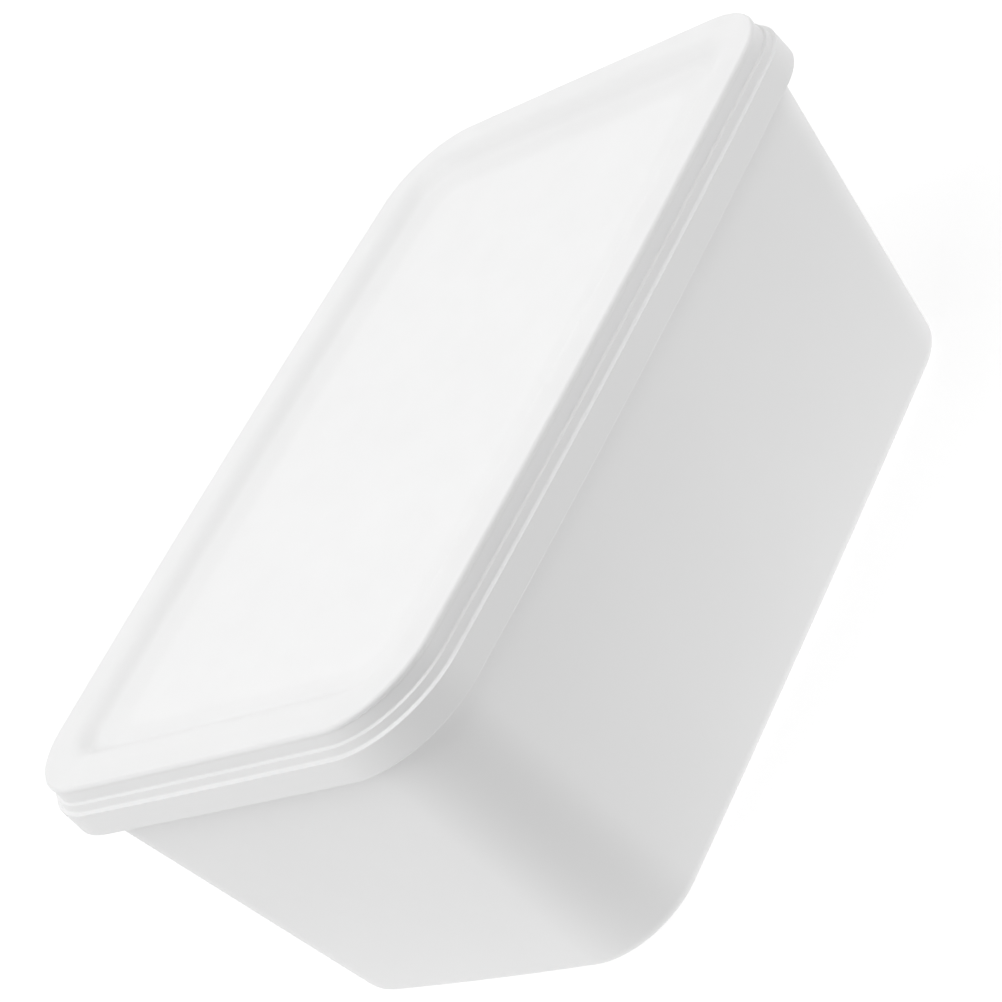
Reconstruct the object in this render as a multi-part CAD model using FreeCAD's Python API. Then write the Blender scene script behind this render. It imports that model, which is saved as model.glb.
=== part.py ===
"""Ice cream storage box: a rectangular plastic tub, shut by a press-on lid.

Millimetres, +Z up. The origin is at the middle of the tub's footprint. X runs along the tub's length
and Y across it. The tub is modelled shut and full, as one solid, and the lid is a separate solid on it.
Every outline is eight tangent arcs: four rounded corners and four sides that swell slightly outward.
"""

import FreeCAD, Part
import math
import os

# The lid's plate, as seen from above. All of the lid's section is an offset of this outline.
LID_LENGTH = 180.0
LID_WIDTH = 111.1
LID_CORNER_R = 18.0
LID_SIDE_BOW = 1.3  # how far a long side swells at its middle
LID_END_BOW = 0.1  # how far a short end swells at its middle
TOTAL_HEIGHT = 76.8

# The lid's outer section, stepping outward as it goes down from the plate's edge.
LIP_HEIGHT = 0.95
LIP_OVERHANG = 0.15
LEDGE_1_DEPTH = 3.45
LEDGE_1_OUT = 0.6
LEDGE_2_DEPTH = 5.15
LEDGE_2_OUT = 1.75
LEDGE_FALL = 0.2  # each ledge slopes down by this much
BAND_DRAFT = 0.3  # how far the narrow band between the ledges leans out
SKIRT_DEPTH = 11.0
SKIRT_DRAFT = 0.1
LID_WALL = 1.0
PLATE_EDGE_R = 0.7
LEDGE_R = 0.2
LEDGE_FOOT_R = 0.3
SKIRT_EDGE_R = 0.35

# The shallow recess in the lid's top.
RECESS_BORDER = 7.8
RECESS_WALL_RUN = 3.5
RECESS_WALL_DEPTH = 2.2
RECESS_EDGE_R = 7.0  # the soft brink between the border and the wall
RECESS_CREASE_R = 5.5  # between the recess's wall and its apron
APRON_RUN = 5.6  # the gentle slope between the recess's wall and its flat floor
APRON_DROP = 1.15
APRON_CORNER_R = 6.0
CHANNEL_WALL = 0.9  # between the recess's brink and the channel that the tub's rim fills
CHANNEL_LEAN = 2.0

# The tub.
SKIRT_GAP = 4.15  # from the skirt's outer face in to the tub's wall, at the skirt's lower edge
END_DRAFT_DEG = 5.8
SIDE_DRAFT_DEG = 7.1
BASE_CORNER_R = 17.3
BASE_SIDE_BOW = 0.47
BASE_END_BOW = 0.31
BASE_FILLET = 2.75
RIM_CLEARANCE = 0.25  # between the tub's rim and the lid's walls around it
FLANGE_THICKNESS = 1.2
FLANGE_DROP = 0.6  # below the inside of the lid's lower ledge
FOOT_WIDTH = 6.0
FOOT_RECESS = 1.2
FOOT_SLOPE_RUN = 1.0
FOOT_CORNER_R = 11.0

TOLERANCE = 1e-4
Z_AXIS = FreeCAD.Vector(0, 0, 1)

skirt_bottom_z = TOTAL_HEIGHT - SKIRT_DEPTH
tray_depth = RECESS_WALL_DEPTH + APRON_DROP + LID_WALL
channel_inner = RECESS_BORDER - CHANNEL_WALL


def outline_arcs(length, width, corner_r, side_bow, end_bow, offset=0.0):
    """The outline's eight arcs, counter-clockwise from the +X end, as (centre, radius, start, end)."""
    half_l = length / 2
    half_w = width / 2
    side_r = ((half_l - corner_r) ** 2 + side_bow**2) / (2 * side_bow)
    end_r = ((half_w - corner_r) ** 2 + end_bow**2) / (2 * end_bow)
    side_c = FreeCAD.Vector(0, half_w - side_r, 0)
    end_c = FreeCAD.Vector(half_l - end_r, 0, 0)
    # The corner's centre is one corner radius inside both of the arcs that it joins.
    across = end_c - side_c
    apart = across.Length
    along = ((side_r - corner_r) ** 2 - (end_r - corner_r) ** 2 + apart**2) / (2 * apart)
    aside = math.sqrt((side_r - corner_r) ** 2 - along**2)
    unit = across / apart
    corner = side_c + unit * along + FreeCAD.Vector(unit.y, -unit.x, 0) * aside
    low = math.atan2(corner.y - end_c.y, corner.x - end_c.x)
    high = math.atan2(corner.y - side_c.y, corner.x - side_c.x)
    half = math.pi
    arcs = [
        (end_c, end_r, -low, low),
        (corner, corner_r, low, high),
        (side_c, side_r, high, half - high),
        (FreeCAD.Vector(-corner.x, corner.y, 0), corner_r, half - high, half - low),
        (-end_c, end_r, half - low, half + low),
        (-corner, corner_r, half + low, half + high),
        (-side_c, side_r, half + high, 2 * half - high),
        (FreeCAD.Vector(corner.x, -corner.y, 0), corner_r, 2 * half - high, 2 * half - low),
    ]
    return [(centre, radius + offset, start, end) for centre, radius, start, end in arcs]


def point_on(centre, radius, angle, z):
    return FreeCAD.Vector(centre.x + radius * math.cos(angle), centre.y + radius * math.sin(angle), z)


def outline_wire(arcs, z):
    edges = []
    for centre, radius, start, end in arcs:
        points = [point_on(centre, radius, angle, z) for angle in (start, (start + end) / 2, end)]
        edges.append(Part.Arc(*points).toShape())
    return Part.Wire(edges)


def slab(lower_arcs, lower_z, upper_arcs, upper_z):
    """A solid between two outlines at two heights."""
    wires = [outline_wire(lower_arcs, lower_z), outline_wire(upper_arcs, upper_z)]
    return Part.makeLoft(wires, True, True)


def lid_arcs(offset):
    """The lid plate's outline, moved outward by offset."""
    return outline_arcs(LID_LENGTH, LID_WIDTH, LID_CORNER_R, LID_SIDE_BOW, LID_END_BOW, offset)


def inset_arcs(inset, corner_r):
    """An outline inside the lid plate's, with a corner radius of its own."""
    length = LID_LENGTH - 2 * inset
    width = LID_WIDTH - 2 * inset
    return outline_arcs(length, width, corner_r, LID_SIDE_BOW, LID_END_BOW)


def rounded_profile(corners):
    """A closed section in (out, depth), as straight and arc steps. Each corner is (out, depth, radius)."""
    steps = []
    count = len(corners)
    for i, (out, depth, radius) in enumerate(corners):
        here = FreeCAD.Vector(out, depth, 0)
        before = FreeCAD.Vector(*corners[i - 1][:2], 0) - here
        after = FreeCAD.Vector(*corners[(i + 1) % count][:2], 0) - here
        if radius == 0:
            steps.append((here, here, here))
            continue
        half_angle = before.getAngle(after) / 2
        reach = radius / math.tan(half_angle)
        start = here + before.normalize() * reach
        end = here + after.normalize() * reach
        bisector = (before + after).normalize()
        middle = here + bisector * (radius / math.sin(half_angle) - radius)
        steps.append((start, middle, end))
    return steps


def sweep_round(corners, arcs):
    """The section carried round the outline: it is turned about each arc's own centre."""
    steps = rounded_profile(corners)
    sectors = []
    for centre, radius, start_angle, end_angle in arcs:
        def place(point):
            return point_on(centre, radius + point.x, start_angle, TOTAL_HEIGHT - point.y)

        edges = []
        for i, (start, middle, end) in enumerate(steps):
            if (end - start).Length > TOLERANCE:
                edges.append(Part.Arc(place(start), place(middle), place(end)).toShape())
            following = steps[(i + 1) % len(steps)][0]
            edges.append(Part.LineSegment(place(end), place(following)).toShape())
        face = Part.Face(Part.Wire(edges))
        sectors.append(face.revolve(centre, Z_AXIS, math.degrees(end_angle - start_angle)))
    return sectors[0].multiFuse(sectors[1:]).removeSplitter()


def level_edges(shape, z, arcs):
    """The shape's edges that lie flat at height z on or inside the outline."""
    half_l = arcs[0][0].x + arcs[0][1] + TOLERANCE
    half_w = arcs[2][0].y + arcs[2][1] + TOLERANCE
    found = []
    for edge in shape.Edges:
        box = edge.BoundBox
        level = abs(box.ZMin - z) < TOLERANCE and abs(box.ZMax - z) < TOLERANCE
        inside = box.XMax < half_l and box.XMin > -half_l and box.YMax < half_w and box.YMin > -half_w
        if level and inside:
            found.append(edge)
    return found


def lid_section():
    """The lid's border, stepped side and skirt, from the recess's brink outward and back."""
    skirt_out = LEDGE_2_OUT + SKIRT_DRAFT
    band_out = LEDGE_1_OUT + BAND_DRAFT
    return [
        (-RECESS_BORDER, 0, 0),
        (0, 0, PLATE_EDGE_R),
        (0, LIP_HEIGHT, 0),
        (-LIP_OVERHANG, LIP_HEIGHT + LIP_OVERHANG, 0),
        (0, LEDGE_1_DEPTH, LEDGE_FOOT_R),
        (LEDGE_1_OUT, LEDGE_1_DEPTH + LEDGE_FALL, LEDGE_R),
        (band_out, LEDGE_2_DEPTH, LEDGE_FOOT_R),
        (LEDGE_2_OUT, LEDGE_2_DEPTH + LEDGE_FALL, LEDGE_R),
        (skirt_out, SKIRT_DEPTH, SKIRT_EDGE_R),
        (skirt_out - LID_WALL, SKIRT_DEPTH, SKIRT_EDGE_R),
        (LEDGE_2_OUT - LID_WALL, LEDGE_2_DEPTH + LEDGE_FALL + LID_WALL, 0),
        (-LID_WALL, LEDGE_2_DEPTH + LID_WALL, 0),
        (-LID_WALL, LID_WALL, 0),
        (-RECESS_BORDER, LID_WALL, 0),
    ]


def tray_arcs():
    """The outer outlines of the sunk part of the lid, at its top and at its underside."""
    return lid_arcs(-channel_inner), lid_arcs(-channel_inner - CHANNEL_LEAN)


def make_lid():
    edge = sweep_round(lid_section(), lid_arcs(0))
    top_arcs, bottom_arcs = tray_arcs()
    tray = slab(bottom_arcs, TOTAL_HEIGHT - tray_depth, top_arcs, TOTAL_HEIGHT)
    lid = edge.fuse(tray).removeSplitter()
    brink = lid_arcs(-RECESS_BORDER)
    crease = lid_arcs(-RECESS_BORDER - RECESS_WALL_RUN)
    floor = inset_arcs(RECESS_BORDER + RECESS_WALL_RUN + APRON_RUN, APRON_CORNER_R)
    crease_z = TOTAL_HEIGHT - RECESS_WALL_DEPTH
    floor_z = crease_z - APRON_DROP
    recess = slab(crease, crease_z, brink, TOTAL_HEIGHT).fuse(slab(floor, floor_z, crease, crease_z))
    lid = lid.cut(recess)
    lid = lid.makeFillet(RECESS_EDGE_R, level_edges(lid, TOTAL_HEIGHT, brink))
    return lid.makeFillet(RECESS_CREASE_R, level_edges(lid, crease_z, crease))


def make_tub():
    skirt_inner = LEDGE_2_OUT + SKIRT_DRAFT - LID_WALL
    wall_inset = SKIRT_GAP - LEDGE_2_OUT - SKIRT_DRAFT
    end_taper = math.tan(math.radians(END_DRAFT_DEG)) * skirt_bottom_z
    side_taper = math.tan(math.radians(SIDE_DRAFT_DEG)) * skirt_bottom_z
    base_length = LID_LENGTH - 2 * (wall_inset + end_taper)
    base_width = LID_WIDTH - 2 * (wall_inset + side_taper)
    base = outline_arcs(base_length, base_width, BASE_CORNER_R, BASE_SIDE_BOW, BASE_END_BOW)
    shoulder = lid_arcs(-wall_inset)
    body = slab(base, 0, shoulder, skirt_bottom_z)
    body = body.makeFillet(BASE_FILLET, level_edges(body, 0, base))

    # The neck and rim stand up inside the lid, and the rim fills the channel under the lid's border.
    rim_z = TOTAL_HEIGHT - LID_WALL
    rim_foot_z = TOTAL_HEIGHT - LEDGE_2_DEPTH - LID_WALL
    rim = lid_arcs(-LID_WALL - RIM_CLEARANCE)
    neck = slab(shoulder, skirt_bottom_z, rim, rim_foot_z)
    rim_block = slab(rim, rim_foot_z, rim, rim_z)
    flange_top_z = rim_foot_z - LEDGE_FALL - FLANGE_DROP
    flange_arcs = lid_arcs(skirt_inner - RIM_CLEARANCE)
    flange = slab(flange_arcs, flange_top_z - FLANGE_THICKNESS, flange_arcs, flange_top_z)
    tub = body.multiFuse([neck, rim_block, flange])

    # The lid's sunk tray sits in the tub's mouth: it rests on the contents, clear of the rim.
    top_arcs, bottom_arcs = tray_arcs()
    mouth_top = [(c, r + RIM_CLEARANCE, start, end) for c, r, start, end in top_arcs]
    mouth_bottom = [(c, r + RIM_CLEARANCE, start, end) for c, r, start, end in bottom_arcs]
    tub = tub.cut(slab(mouth_bottom, TOTAL_HEIGHT - tray_depth, mouth_top, TOTAL_HEIGHT))

    # The underside stands on a flat foot ring.
    foot_length = base_length - 2 * (BASE_FILLET + FOOT_WIDTH)
    foot_width = base_width - 2 * (BASE_FILLET + FOOT_WIDTH)
    foot = outline_arcs(foot_length, foot_width, FOOT_CORNER_R, BASE_SIDE_BOW, BASE_END_BOW)
    inner = [(c, r - FOOT_SLOPE_RUN, start, end) for c, r, start, end in foot]
    return tub.cut(slab(foot, 0, inner, FOOT_RECESS)).removeSplitter()


os.makedirs("parts", exist_ok=True)
for name, shape in (("tub", make_tub()), ("lid", make_lid())):
    solids = shape.Solids
    if len(solids) != 1 or not shape.isValid():
        raise RuntimeError(f"{name} has {len(solids)} solids, valid: {shape.isValid()}")
    solids[0].exportStep(f"parts/{name}.step")
    box = solids[0].BoundBox
    print(name, f"{box.XLength:.2f} x {box.YLength:.2f} x {box.ZLength:.2f} mm,",
          f"{solids[0].Volume / 1000:.1f} cm3, z {box.ZMin:.2f} to {box.ZMax:.2f}")
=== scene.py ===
"""Looks of the ice cream storage box: a white plastic tub shut by its press-on lid."""

import math

import bmesh
import bpy
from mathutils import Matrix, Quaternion, Vector


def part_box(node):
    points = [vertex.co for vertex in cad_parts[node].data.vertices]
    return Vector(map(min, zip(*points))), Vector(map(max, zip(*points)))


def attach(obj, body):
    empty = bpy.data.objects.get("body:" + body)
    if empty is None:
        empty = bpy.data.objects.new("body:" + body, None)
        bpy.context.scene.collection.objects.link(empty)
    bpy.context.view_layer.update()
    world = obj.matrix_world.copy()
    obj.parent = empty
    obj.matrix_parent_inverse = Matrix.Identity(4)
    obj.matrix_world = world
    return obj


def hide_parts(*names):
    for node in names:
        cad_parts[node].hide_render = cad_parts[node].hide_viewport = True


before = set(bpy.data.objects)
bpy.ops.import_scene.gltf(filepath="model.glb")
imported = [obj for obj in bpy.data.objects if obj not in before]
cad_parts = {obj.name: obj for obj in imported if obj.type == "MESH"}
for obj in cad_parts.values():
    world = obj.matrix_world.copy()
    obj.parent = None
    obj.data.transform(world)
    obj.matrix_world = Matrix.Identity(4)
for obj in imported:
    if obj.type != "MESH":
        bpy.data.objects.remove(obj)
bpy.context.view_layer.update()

MM = 0.001
WHITE = 1.0

# --- Sizes, in metres, from the frame ---------------------------------------------------------------
lid_low, lid_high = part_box("lid")
tub_low, tub_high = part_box("tub")
SKIRT_OUT = 1.85 * MM  # from the plate's edge out to the skirt's outer face
PLATE_LENGTH = lid_high.x - lid_low.x - 2 * SKIRT_OUT
PLATE_WIDTH = lid_high.y - lid_low.y - 2 * SKIRT_OUT
PLATE_CORNER_R = 18.0 * MM
PLATE_SIDE_BOW = 1.3 * MM
PLATE_END_BOW = 0.1 * MM
TOP_Z = lid_high.z
SKIRT_Z = lid_low.z

# The lid's section, as (out, depth) from the plate's edge and top.
WALL = 1.0 * MM
LIP_HEIGHT = 0.95 * MM
LIP_OVERHANG = 0.15 * MM
LEDGE_1_DEPTH = 3.45 * MM
LEDGE_1_OUT = 0.6 * MM
LEDGE_2_DEPTH = 5.15 * MM
LEDGE_2_OUT = 1.75 * MM
LEDGE_FALL = 0.2 * MM
BAND_DRAFT = 0.3 * MM
PLATE_EDGE_R = 0.7 * MM
LEDGE_R = 0.2 * MM
LEDGE_FOOT_R = 0.3 * MM
LIP_R = 0.1 * MM
LIP_FOOT_R = 0.05 * MM
SKIRT_EDGE_R = 0.35 * MM
HIDDEN_R = 0.2 * MM  # the roundings inside the lid, and on the tub's rim below it
RECESS_BORDER = 7.8 * MM
RECESS_WALL_RUN = 3.5 * MM
RECESS_WALL_DEPTH = 2.2 * MM
RECESS_EDGE_R = 7.0 * MM
RECESS_CREASE_R = 5.5 * MM
APRON_RUN = 5.6 * MM
APRON_DROP = 1.15 * MM
APRON_EASE = 2.4 * MM  # how far either side of its inner edge the apron eases into the flat floor
APRON_TOP = 1.3 * MM  # where the apron's own rings end, short of the crease's rounding
APRON_CORNER_R = 6.0 * MM
CHANNEL_WALL = 0.9 * MM
CHANNEL_LEAN = 2.0 * MM
TRAY_FLAT = 1.0 * MM  # how far in the last loop lies on the tray's flat underside
PANEL_FADE = 0.2 * MM  # how far above the recess's floor the panel's painted light (a lighter grey) and its polish have faded out

# The tub.
SKIRT_GAP = 4.15 * MM
END_DRAFT = math.radians(5.8)
SIDE_DRAFT = math.radians(7.1)
BASE_CORNER_R = 17.3 * MM
BASE_SIDE_BOW = 0.47 * MM
BASE_END_BOW = 0.31 * MM
BASE_FILLET = 2.75 * MM
RIM_CLEARANCE = 0.25 * MM
RIM_FOOT_R = 0.1 * MM
FOOT_WIDTH = 6.0 * MM
FOOT_RECESS = 1.2 * MM
FOOT_SLOPE_RUN = 1.0 * MM
FOOT_CORNER_R = 11.0 * MM

# How finely the outlines and roundings are drawn.
CORNER_STEPS = 32
SIDE_STEPS = 40
END_STEPS = 24
WALL_STEPS = 16
EASE_STEPS = 8
SLOPE_STEPS = 10
ROUND_STEPS = 8
SUPPORT = 0.05 * MM  # a loop this near each rounding keeps the flats beside it shaded flat


# --- Outlines and sections --------------------------------------------------------------------------
def outline(length, width, corner_r, side_bow, end_bow):
    """Eight tangent arcs, counter-clockwise, as a list of (point, outward normal) at height 0."""
    half_l = length / 2
    half_w = width / 2
    side_r = ((half_l - corner_r) ** 2 + side_bow**2) / (2 * side_bow)
    end_r = ((half_w - corner_r) ** 2 + end_bow**2) / (2 * end_bow)
    side_c = Vector((0, half_w - side_r))
    end_c = Vector((half_l - end_r, 0))
    across = end_c - side_c
    apart = across.length
    along = ((side_r - corner_r) ** 2 - (end_r - corner_r) ** 2 + apart**2) / (2 * apart)
    aside = math.sqrt((side_r - corner_r) ** 2 - along**2)
    unit = across / apart
    corner = side_c + unit * along + Vector((unit.y, -unit.x)) * aside
    low = math.atan2(corner.y - end_c.y, corner.x - end_c.x)
    high = math.atan2(corner.y - side_c.y, corner.x - side_c.x)
    mirrored = Vector((-corner.x, corner.y))
    half_turn = math.pi
    turn = math.tau
    arcs = [
        (end_c, end_r, -low, low, END_STEPS),
        (corner, corner_r, low, high, CORNER_STEPS),
        (side_c, side_r, high, half_turn - high, SIDE_STEPS),
        (mirrored, corner_r, half_turn - high, half_turn - low, CORNER_STEPS),
        (-end_c, end_r, half_turn - low, half_turn + low, END_STEPS),
        (-corner, corner_r, half_turn + low, half_turn + high, CORNER_STEPS),
        (-side_c, side_r, half_turn + high, turn - high, SIDE_STEPS),
        (-mirrored, corner_r, turn - high, turn - low, CORNER_STEPS),
    ]
    stations = []
    for centre, radius, start, end, steps in arcs:
        for i in range(steps):
            angle = start + (end - start) * i / steps
            normal = Vector((math.cos(angle), math.sin(angle)))
            stations.append((centre + normal * radius, normal))
    return stations


def level_ring(stations, out, z):
    """The outline moved outward by out, at height z."""
    return [(*(point + normal * out), z) for point, normal in stations]


def between(ring_a, ring_b, share):
    """The ring that lies the given share of the way from ring_a to ring_b."""
    return [tuple(Vector(a).lerp(Vector(b), share)) for a, b in zip(ring_a, ring_b)]


def lifted(ring, rise):
    return [(x, y, z + rise) for x, y, z in ring]


def rounded(corners):
    """An open run of (out, depth) points through the corners, each (out, depth, radius), rounded."""
    runs = []
    for i, (out, depth, radius) in enumerate(corners):
        here = Vector((out, depth))
        if radius == 0 or i in (0, len(corners) - 1):
            runs.append([here])
            continue
        before = (Vector(corners[i - 1][:2]) - here).normalized()
        after = (Vector(corners[i + 1][:2]) - here).normalized()
        half_angle = before.angle(after) / 2
        reach = radius / math.tan(half_angle)
        centre = here + (before + after).normalized() * radius / math.sin(half_angle)
        first = here + before * reach - centre
        last = here + after * reach - centre
        turn = first.angle_signed(last)
        arc = []
        for k in range(ROUND_STEPS + 1):
            angle = -turn * k / ROUND_STEPS
            cos, sin = math.cos(angle), math.sin(angle)
            arc.append(centre + Vector((first.x * cos - first.y * sin, first.x * sin + first.y * cos)))
        runs.append(arc)
    points = list(runs[0])
    for run in runs[1:]:
        gap = run[0] - points[-1]
        if gap.length > 3 * SUPPORT:
            points.append(points[-1] + gap.normalized() * SUPPORT)
            points.append(run[0] - gap.normalized() * SUPPORT)
        points.extend(run)
    return points


def mesh_object(name, rings, material):
    """A closed mesh through a stack of rings with the same number of points, capped flat at both ends."""
    mesh = bpy.data.meshes.new(name)
    work = bmesh.new()
    loops = [[work.verts.new(co) for co in ring] for ring in rings]
    count = len(loops[0])
    for lower, upper in zip(loops, loops[1:]):
        for i in range(count):
            j = (i + 1) % count
            work.faces.new((lower[i], lower[j], upper[j], upper[i]))
    work.faces.new(loops[0])
    work.faces.new(reversed(loops[-1]))
    bmesh.ops.recalc_face_normals(work, faces=work.faces)
    for face in work.faces:
        face.smooth = True
    work.to_mesh(mesh)
    work.free()
    mesh.materials.append(material)
    piece = bpy.data.objects.new(name, mesh)
    bpy.context.scene.collection.objects.link(piece)
    return piece


# --- Materials --------------------------------------------------------------------------------------
PLASTIC_TONE = 0.83
# The recess's floor is painted a lighter grey than the rest of the lid: painted light, not a colour of the
# plastic.
PANEL_PAINTED_LIGHT_TONE = 0.842
PLASTIC_IOR = 1.49
NOISE_LOW = 0.3  # most of a noise texture's values lie between these two
NOISE_HIGH = 0.7
CLOUD_SCALE = 22.0
CLOUD_DEPTH = 0.008  # how far the clouds stray from the tone, as a share of it
PATCH_SCALE = 160.0
ROUGHNESS_LOW = 0.44
ROUGHNESS_HIGH = 0.54
PANEL_POLISH = 0.06
WAVE_SCALE = 45.0
WAVE_HEIGHT = 0.04 * MM
GRAIN_SCALE = 1400.0
GRAIN_HEIGHT = 0.012 * MM

# The Mix node's sockets share their names between kinds, so they are picked by number.
FLOAT_A, FLOAT_B = 2, 3
COLOUR_A, COLOUR_B, COLOUR_RESULT = 6, 7, 2


def noise(nodes, links, coords, scale, detail):
    texture = nodes.new("ShaderNodeTexNoise")
    texture.inputs["Scale"].default_value = scale
    texture.inputs["Detail"].default_value = detail
    links.new(coords, texture.inputs["Vector"])
    return texture.outputs["Fac"]


def remap(nodes, links, value, low, high):
    """Noise spread from low to high."""
    spread = nodes.new("ShaderNodeMapRange")
    spread.inputs["From Min"].default_value = NOISE_LOW
    spread.inputs["From Max"].default_value = NOISE_HIGH
    spread.inputs["To Min"].default_value = low
    spread.inputs["To Max"].default_value = high
    links.new(value, spread.inputs["Value"])
    return spread.outputs["Result"]


def bumped(nodes, links, height, depth, below=None):
    bump = nodes.new("ShaderNodeBump")
    bump.inputs["Strength"].default_value = 1.0
    bump.inputs["Distance"].default_value = depth
    links.new(height, bump.inputs["Height"])
    if below:
        links.new(below, bump.inputs["Normal"])
    return bump.outputs["Normal"]


def grey(level):
    return (level, level, level, 1)


def mixed_colour(nodes, links, factor):
    """A colour Mix node run by factor, with its two colours still to be set or linked."""
    mix = nodes.new("ShaderNodeMix")
    mix.data_type = "RGBA"
    links.new(factor, mix.inputs[0])
    return mix


def white_plastic(name, tone, painted_light_tone):
    """Satin moulded polypropylene, smoother where the mesh's panel attribute is 1, and painted a lighter
    grey there as painted light.
    """
    material = bpy.data.materials.new(name)
    material.use_nodes = True
    nodes = material.node_tree.nodes
    links = material.node_tree.links
    shader = nodes["Principled BSDF"]
    shader.inputs["IOR"].default_value = PLASTIC_IOR
    coords = nodes.new("ShaderNodeTexCoord").outputs["Object"]

    panel = nodes.new("ShaderNodeAttribute")
    panel.attribute_name = "panel"

    # Flow of the melt leaves broad, very faint clouds in the white.
    clouds = remap(nodes, links, noise(nodes, links, coords, CLOUD_SCALE, 3.0), 0.0, 1.0)
    # Painted light: where the panel attribute is 1, the grey is the lighter one painted on the recess's
    # floor.
    colour = mixed_colour(nodes, links, panel.outputs["Fac"])
    for level, socket in ((tone, COLOUR_A), (painted_light_tone, COLOUR_B)):
        shade = mixed_colour(nodes, links, clouds)
        shade.inputs[COLOUR_A].default_value = grey(level * (1 - CLOUD_DEPTH))
        shade.inputs[COLOUR_B].default_value = grey(level * (1 + CLOUD_DEPTH))
        links.new(shade.outputs[COLOUR_RESULT], colour.inputs[socket])
    links.new(colour.outputs[COLOUR_RESULT], shader.inputs["Base Color"])

    # The satin finish varies in gloss from patch to patch, and the panel is more polished.
    gloss = noise(nodes, links, coords, PATCH_SCALE, 5.0)
    patches = remap(nodes, links, gloss, ROUGHNESS_LOW, ROUGHNESS_HIGH)
    polish = nodes.new("ShaderNodeMath")
    polish.operation = "MULTIPLY_ADD"
    polish.inputs[1].default_value = -PANEL_POLISH
    links.new(panel.outputs["Fac"], polish.inputs[0])
    links.new(patches, polish.inputs[2])
    links.new(polish.outputs[0], shader.inputs["Roughness"])

    # A fine moulded grain over a slow waviness.
    waves = bumped(nodes, links, noise(nodes, links, coords, WAVE_SCALE, 1.0), WAVE_HEIGHT)
    grain = bumped(nodes, links, noise(nodes, links, coords, GRAIN_SCALE, 3.0), GRAIN_HEIGHT, waves)
    links.new(grain, shader.inputs["Normal"])
    return material


# --- The pieces -------------------------------------------------------------------------------------
plate = outline(PLATE_LENGTH, PLATE_WIDTH, PLATE_CORNER_R, PLATE_SIDE_BOW, PLATE_END_BOW)
channel_inner = RECESS_BORDER - CHANNEL_WALL
tray_depth = RECESS_WALL_DEPTH + APRON_DROP + WALL
floor_z = TOP_Z - RECESS_WALL_DEPTH - APRON_DROP  # the recess's flat floor


def plate_inset(inset, corner_r):
    """The plate's outline moved in, with corners of another radius."""
    length = PLATE_LENGTH - 2 * inset
    width = PLATE_WIDTH - 2 * inset
    return outline(length, width, corner_r, PLATE_SIDE_BOW, PLATE_END_BOW)


def mark_panel(piece):
    """Sets the lid's panel attribute: 1 on the recess's flat floor, 0 elsewhere, and easing between them. It
    marks where the lid is made smoother and painted a lighter grey as painted light.
    """
    mesh = piece.data
    values = mesh.attributes.new("panel", "FLOAT", "POINT")
    inside_x = PLATE_LENGTH / 2 - RECESS_BORDER
    inside_y = PLATE_WIDTH / 2 - RECESS_BORDER
    for vertex in mesh.vertices:
        x, y, z = vertex.co
        if abs(x) < inside_x and abs(y) < inside_y and z > floor_z - SUPPORT:
            values.data[vertex.index].value = max(0.0, 1.0 - (z - floor_z) / PANEL_FADE)


def lid_rings():
    """The lid as a stack of rings, from the recess out over the top, round the skirt and in to the tray."""
    crease = RECESS_BORDER + RECESS_WALL_RUN
    apron_slope = APRON_DROP / APRON_RUN
    apron_run = APRON_RUN - APRON_TOP
    section = rounded([
        (-crease - APRON_TOP, RECESS_WALL_DEPTH + APRON_TOP * apron_slope, 0),
        (-crease, RECESS_WALL_DEPTH, RECESS_CREASE_R),
        (-RECESS_BORDER, 0, RECESS_EDGE_R),
        (0, 0, PLATE_EDGE_R),
        (0, LIP_HEIGHT, LIP_R),
        (-LIP_OVERHANG, LIP_HEIGHT + LIP_OVERHANG, LIP_FOOT_R),
        (0, LEDGE_1_DEPTH, LEDGE_FOOT_R),
        (LEDGE_1_OUT, LEDGE_1_DEPTH + LEDGE_FALL, LEDGE_R),
        (LEDGE_1_OUT + BAND_DRAFT, LEDGE_2_DEPTH, LEDGE_FOOT_R),
        (LEDGE_2_OUT, LEDGE_2_DEPTH + LEDGE_FALL, LEDGE_R),
        (SKIRT_OUT, TOP_Z - SKIRT_Z, SKIRT_EDGE_R),
        (SKIRT_OUT - WALL, TOP_Z - SKIRT_Z, SKIRT_EDGE_R),
        (LEDGE_2_OUT - WALL, LEDGE_2_DEPTH + LEDGE_FALL + WALL, HIDDEN_R),
        (-WALL, LEDGE_2_DEPTH + WALL, HIDDEN_R),
        (-WALL, WALL, HIDDEN_R),
        (-channel_inner, WALL, HIDDEN_R),
        (-channel_inner - CHANNEL_LEAN, tray_depth, HIDDEN_R),
        (-channel_inner - CHANNEL_LEAN - TRAY_FLAT, tray_depth, 0),
    ])
    stepped = [level_ring(plate, p.x, TOP_Z - p.y) for p in section]

    # The apron runs from the crease down to an outline with corners of its own.
    floor_edge = plate_inset(crease + APRON_RUN, APRON_CORNER_R)
    inner = level_ring(floor_edge, 0, floor_z)
    outer = level_ring(plate, -crease - APRON_TOP, floor_z)
    rings = []
    for i in range(EASE_STEPS + 1):
        out = APRON_EASE * (2 * i / EASE_STEPS - 1)
        rise = apron_slope * (out + APRON_EASE) ** 2 / (4 * APRON_EASE)
        if out < 0:
            rings.append(level_ring(floor_edge, out, floor_z + rise))
        else:
            rings.append(lifted(between(inner, outer, out / apron_run), rise))
    for i in range(1, SLOPE_STEPS):
        out = APRON_EASE + (apron_run - APRON_EASE) * i / SLOPE_STEPS
        rings.append(lifted(between(inner, outer, out / apron_run), apron_slope * out))
    return rings + stepped


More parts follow.
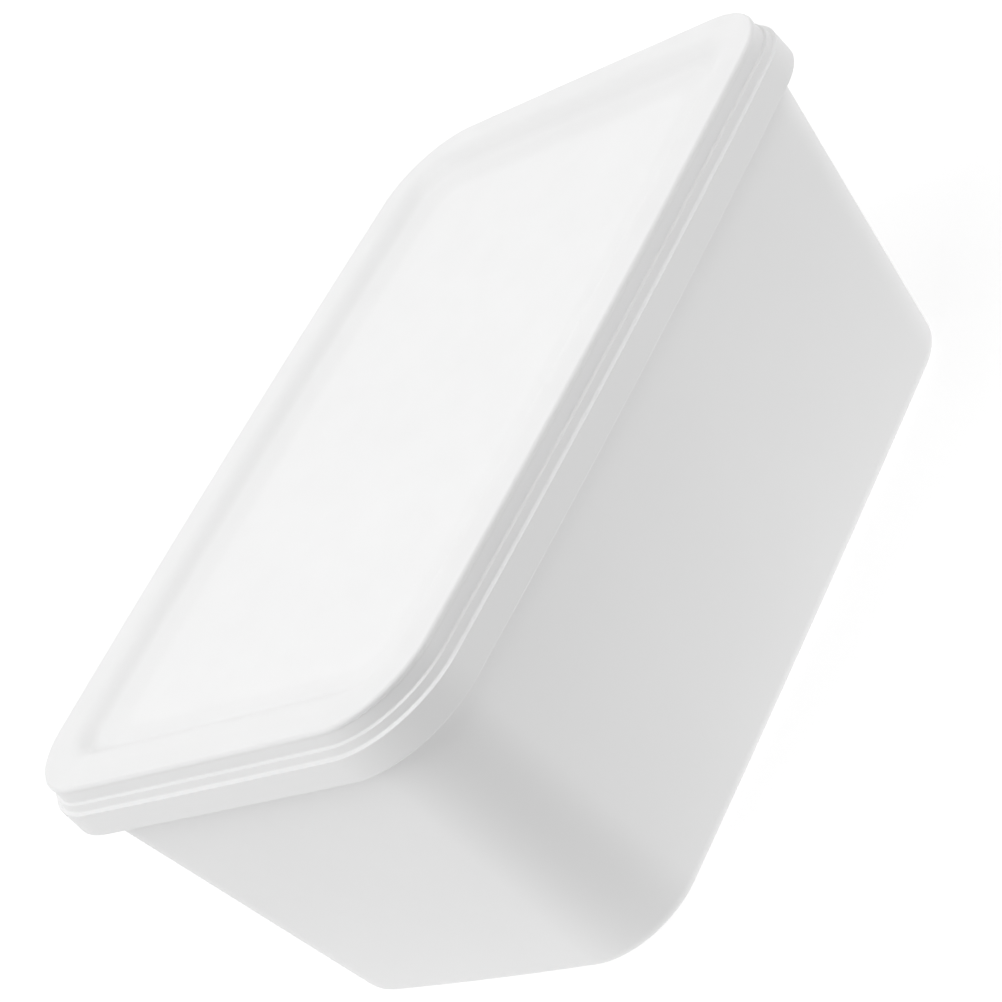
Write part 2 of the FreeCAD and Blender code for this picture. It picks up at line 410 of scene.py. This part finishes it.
def tub_rings():
    """The tub as a stack of rings, from the foot's recess up the wall, over the rim and in to the tray."""
    wall_inset = SKIRT_GAP - SKIRT_OUT
    base_length = PLATE_LENGTH - 2 * (wall_inset + math.tan(END_DRAFT) * SKIRT_Z)
    base_width = PLATE_WIDTH - 2 * (wall_inset + math.tan(SIDE_DRAFT) * SKIRT_Z)
    base = outline(base_length, base_width, BASE_CORNER_R, BASE_SIDE_BOW, BASE_END_BOW)
    foot_length = base_length - 2 * (BASE_FILLET + FOOT_WIDTH)
    foot_width = base_width - 2 * (BASE_FILLET + FOOT_WIDTH)
    foot = outline(foot_length, foot_width, FOOT_CORNER_R, BASE_SIDE_BOW, BASE_END_BOW)
    shoulder = level_ring(plate, -wall_inset, SKIRT_Z)
    rings = [
        level_ring(foot, -FOOT_SLOPE_RUN - SUPPORT, FOOT_RECESS),
        level_ring(foot, -FOOT_SLOPE_RUN, FOOT_RECESS),
        level_ring(foot, 0, 0),
        level_ring(foot, SUPPORT, 0),
        level_ring(base, -BASE_FILLET - SUPPORT, 0),
    ]
    wall_foot = level_ring(base, 0, 0)

    def wall_ring(z, inset):
        outer = between(wall_foot, shoulder, z / SKIRT_Z)
        return [(x - n.x * inset, y - n.y * inset, z) for (x, y, _), (_, n) in zip(outer, base)]

    for i in range(ROUND_STEPS + 1):
        angle = math.pi / 2 * i / ROUND_STEPS
        rings.append(wall_ring(BASE_FILLET * (1 - math.cos(angle)), BASE_FILLET * (1 - math.sin(angle))))
    wall_low = BASE_FILLET + SUPPORT
    for i in range(WALL_STEPS + 1):
        rings.append(wall_ring(wall_low + (SKIRT_Z - wall_low) * i / WALL_STEPS, 0))
    rim_out = -WALL - RIM_CLEARANCE
    mouth = channel_inner - RIM_CLEARANCE
    top = rounded([
        (-wall_inset, TOP_Z - SKIRT_Z, 0),
        (rim_out, LEDGE_2_DEPTH + WALL, RIM_FOOT_R),
        (rim_out, WALL, HIDDEN_R),
        (-mouth, WALL, HIDDEN_R),
        (-mouth - CHANNEL_LEAN, tray_depth, HIDDEN_R),
        (-mouth - CHANNEL_LEAN - TRAY_FLAT, tray_depth, 0),
    ])
    rings += [level_ring(plate, p.x, TOP_Z - p.y) for p in top[1:]]
    return rings


tub_material = white_plastic("tub_plastic", PLASTIC_TONE, PLASTIC_TONE)
lid_material = white_plastic("lid_plastic", PLASTIC_TONE, PANEL_PAINTED_LIGHT_TONE)
tub = mesh_object("tub_body", tub_rings(), tub_material)
lid = mesh_object("lid_body", lid_rings(), lid_material)
# Marks the recess's floor for its painted lighter grey and its polish.
mark_panel(lid)
for piece, node, slot in ((tub, "tub", "tub_plastic"), (lid, "lid", "lid_plastic")):
    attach(piece, "root")
    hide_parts(node)


# --- Camera -----------------------------------------------------------------------------------------
CAMERA_AZIMUTH = math.radians(37.095)  # 0 looks along +Y, turning towards +X
CAMERA_ELEVATION = math.radians(23.684)
CAMERA_ROLL = math.radians(-44.687)
CAMERA_DISTANCE = 0.57959
CAMERA_TARGET = Vector((0.00035, 0.00335, 0.04498))
CAMERA_LENS = 108.23  # this and the sensor's width are in millimetres
CAMERA_SENSOR = 36.0


def add_camera():
    forward = Vector((
        math.sin(CAMERA_AZIMUTH) * math.cos(CAMERA_ELEVATION),
        math.cos(CAMERA_AZIMUTH) * math.cos(CAMERA_ELEVATION),
        -math.sin(CAMERA_ELEVATION),
    ))
    data = bpy.data.cameras.new("camera")
    data.lens = CAMERA_LENS
    data.sensor_width = CAMERA_SENSOR
    data.clip_start = 0.01
    camera = bpy.data.objects.new("camera", data)
    camera.rotation_mode = "QUATERNION"
    level = forward.to_track_quat("-Z", "Y")
    camera.rotation_quaternion = level @ Quaternion((0, 0, 1), CAMERA_ROLL)
    camera.location = CAMERA_TARGET - forward * CAMERA_DISTANCE
    bpy.context.scene.collection.objects.link(camera)
    bpy.context.scene.camera = camera


add_camera()

# --- Floor, world and lamps -------------------------------------------------------------------------
DOME = 0.05  # the even light from all round
FLOOR_REACH = 8.0
FLOOR_SHADE = 0.35  # how much of the light and shadow on the floor shows
FLOOR_GLOW = 0.73  # brings the lit floor up to white round the object
GLOW_REACH = 1.5  # by this distance, where the lamps' light fails, the glow alone is white
TABLE = 0.83  # the floor's even light on the object
POOL = 0.36  # how much brighter that light is close round the object
POOL_REACH = 0.24  # where it has faded out

# Each lamp's azimuth and elevation from the object, and its power in watts.
LAMPS = {
    "overhead": (0, 90, 3),
    "left": (150, 30, 3.5),
    "left high": (180, 50, 7.5),
    "behind high": (135, 70, 4),
    "right": (315, 30, 9),
    "far": (60, 50, 2),
    "far low": (45, 8, 2),
}
LAMP_DISTANCE = 1.4
LAMP_SIZE = 1.0
GLARELESS = {"right"}  # mirrored in the lid, it would burn the lid out in views from behind


def shown_directly(nodes, links):
    """1 for rays from the camera, mirrored or passed through, where the background shows, else 0."""
    path = nodes.new("ShaderNodeLightPath")
    total = path.outputs["Is Camera Ray"]
    for name in ("Is Glossy Ray", "Is Transmission Ray"):
        add = nodes.new("ShaderNodeMath")
        add.operation = "MAXIMUM"
        links.new(total, add.inputs[0])
        links.new(path.outputs[name], add.inputs[1])
        total = add.outputs[0]
    return total


def eased(nodes, links, distance, reach, near, far):
    """Runs smoothly from near, at no distance, to far, at reach and beyond."""
    ease = nodes.new("ShaderNodeMapRange")
    ease.interpolation_type = "SMOOTHSTEP"
    ease.inputs["From Max"].default_value = reach
    ease.inputs["To Min"].default_value = near
    ease.inputs["To Max"].default_value = far
    links.new(distance, ease.inputs["Value"])
    return ease.outputs["Result"]


def add_floor():
    """A plain white table. The object stands in its even white light, and it shows the object's shadow."""
    mesh = bpy.data.meshes.new("floor")
    signs = ((-1, -1), (1, -1), (1, 1), (-1, 1))
    mesh.from_pydata([(x * FLOOR_REACH, y * FLOOR_REACH, 0) for x, y in signs], [], [(0, 1, 2, 3)])
    floor = bpy.data.objects.new("floor", mesh)
    bpy.context.scene.collection.objects.link(floor)
    material = bpy.data.materials.new("floor")
    material.use_nodes = True
    nodes = material.node_tree.nodes
    links = material.node_tree.links
    nodes.clear()
    shade = nodes.new("ShaderNodeBsdfDiffuse")
    shade.inputs["Color"].default_value = grey(FLOOR_SHADE)
    place = nodes.new("ShaderNodeNewGeometry")
    away = nodes.new("ShaderNodeVectorMath")
    away.operation = "LENGTH"
    links.new(place.outputs["Position"], away.inputs[0])
    glow = nodes.new("ShaderNodeEmission")
    brighter = eased(nodes, links, away.outputs["Value"], GLOW_REACH, FLOOR_GLOW, WHITE)
    links.new(brighter, glow.inputs["Strength"])
    seen = nodes.new("ShaderNodeAddShader")
    links.new(shade.outputs[0], seen.inputs[0])
    links.new(glow.outputs[0], seen.inputs[1])
    table = nodes.new("ShaderNodeEmission")
    pool = eased(nodes, links, away.outputs["Value"], POOL_REACH, TABLE + POOL, TABLE)
    links.new(pool, table.inputs["Strength"])
    mix = nodes.new("ShaderNodeMixShader")
    links.new(shown_directly(nodes, links), mix.inputs[0])
    links.new(table.outputs[0], mix.inputs[1])
    links.new(seen.outputs[0], mix.inputs[2])
    output = nodes.new("ShaderNodeOutputMaterial")
    links.new(mix.outputs[0], output.inputs["Surface"])
    mesh.materials.append(material)


def add_world():
    """White where it shows, and otherwise a weak even light from all round."""
    world = bpy.data.worlds.new("world")
    bpy.context.scene.world = world
    world.use_nodes = True
    nodes = world.node_tree.nodes
    links = world.node_tree.links
    strength = nodes.new("ShaderNodeMix")
    links.new(shown_directly(nodes, links), strength.inputs[0])
    strength.inputs[FLOAT_A].default_value = DOME
    strength.inputs[FLOAT_B].default_value = WHITE
    nodes["Background"].inputs["Color"].default_value = grey(WHITE)
    links.new(strength.outputs[0], nodes["Background"].inputs["Strength"])


def add_lamps():
    """Large soft square lamps, all aimed at the object's middle."""
    aim = Vector((0, 0, TOP_Z / 2))
    for name, (azimuth, elevation, power) in LAMPS.items():
        azimuth = math.radians(azimuth)
        elevation = math.radians(elevation)
        toward = Vector((
            math.cos(azimuth) * math.cos(elevation),
            math.sin(azimuth) * math.cos(elevation),
            math.sin(elevation),
        ))
        data = bpy.data.lights.new(name, "AREA")
        data.shape = "SQUARE"
        data.size = LAMP_SIZE
        data.energy = power
        lamp = bpy.data.objects.new(name, data)
        lamp.location = aim + toward * LAMP_DISTANCE
        lamp.rotation_euler = (-toward).to_track_quat("-Z", "Y").to_euler()
        lamp.visible_camera = False
        lamp.visible_glossy = name not in GLARELESS
        bpy.context.scene.collection.objects.link(lamp)


add_floor()
add_world()
add_lamps()

bpy.context.scene.view_settings.view_transform = "Standard"
